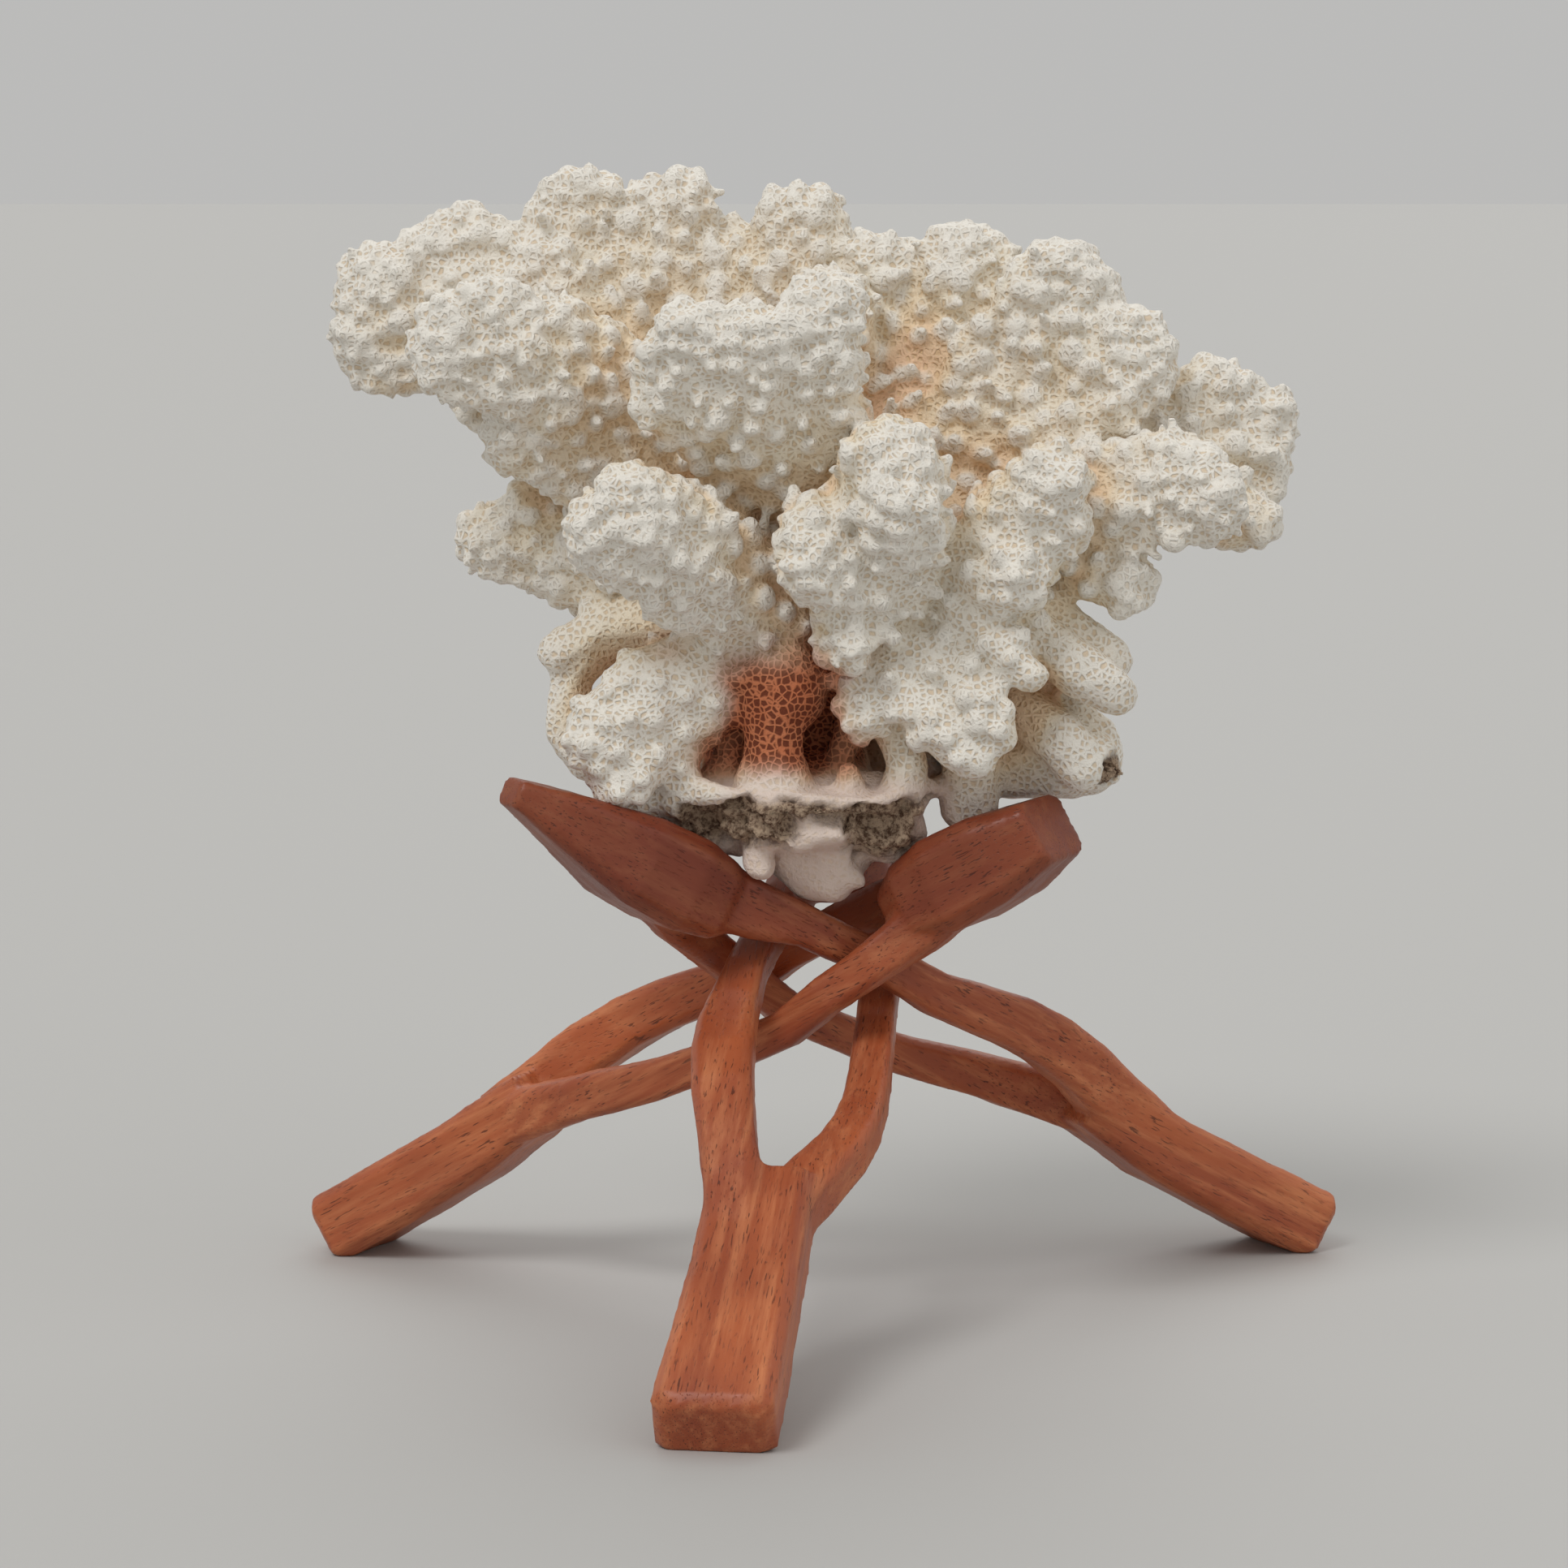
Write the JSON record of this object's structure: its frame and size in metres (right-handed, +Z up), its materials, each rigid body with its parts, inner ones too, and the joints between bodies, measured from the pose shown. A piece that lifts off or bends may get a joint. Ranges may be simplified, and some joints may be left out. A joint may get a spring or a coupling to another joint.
{
  "type": "branching coral",
  "caption": "White branching coral colony resting on a folding tripod stand of interlocking carved wooden legs.",
  "frame": {"origin": "on the floor, below the middle of the whole object's outline", "axes": "+Z up, +X to the right and +Y away from someone who faces the front foot"},
  "size_m": [0.1896, 0.1652, 0.1995],
  "materials": {
    "coral": "matt",
    "wood": "satin"
  },
  "bodies": {
    "root": {"leg_front": "wood", "leg_left": "wood", "leg_right": "wood", "coral_base": "coral", "coral_trunk": "coral", "coral_branch_left": "coral", "coral_branch_top_left": "coral", "coral_branch_top_centre": "coral", "coral_branch_front_centre": "coral", "coral_branch_top_right": "coral", "coral_branch_right": "coral", "coral_branch_front_right": "coral", "coral_branch_front_left": "coral", "coral_branch_left_lower": "coral", "coral_branch_left_loop": "coral", "coral_branch_lower_left": "coral", "coral_branch_lower_right": "coral", "coral_branch_right_fingers": "coral", "coral_branch_right_base": "coral", "coral_branch_back_left": "coral", "coral_branch_back_centre": "coral", "coral_branch_back_right": "coral"}
  },
  "joints": []
}
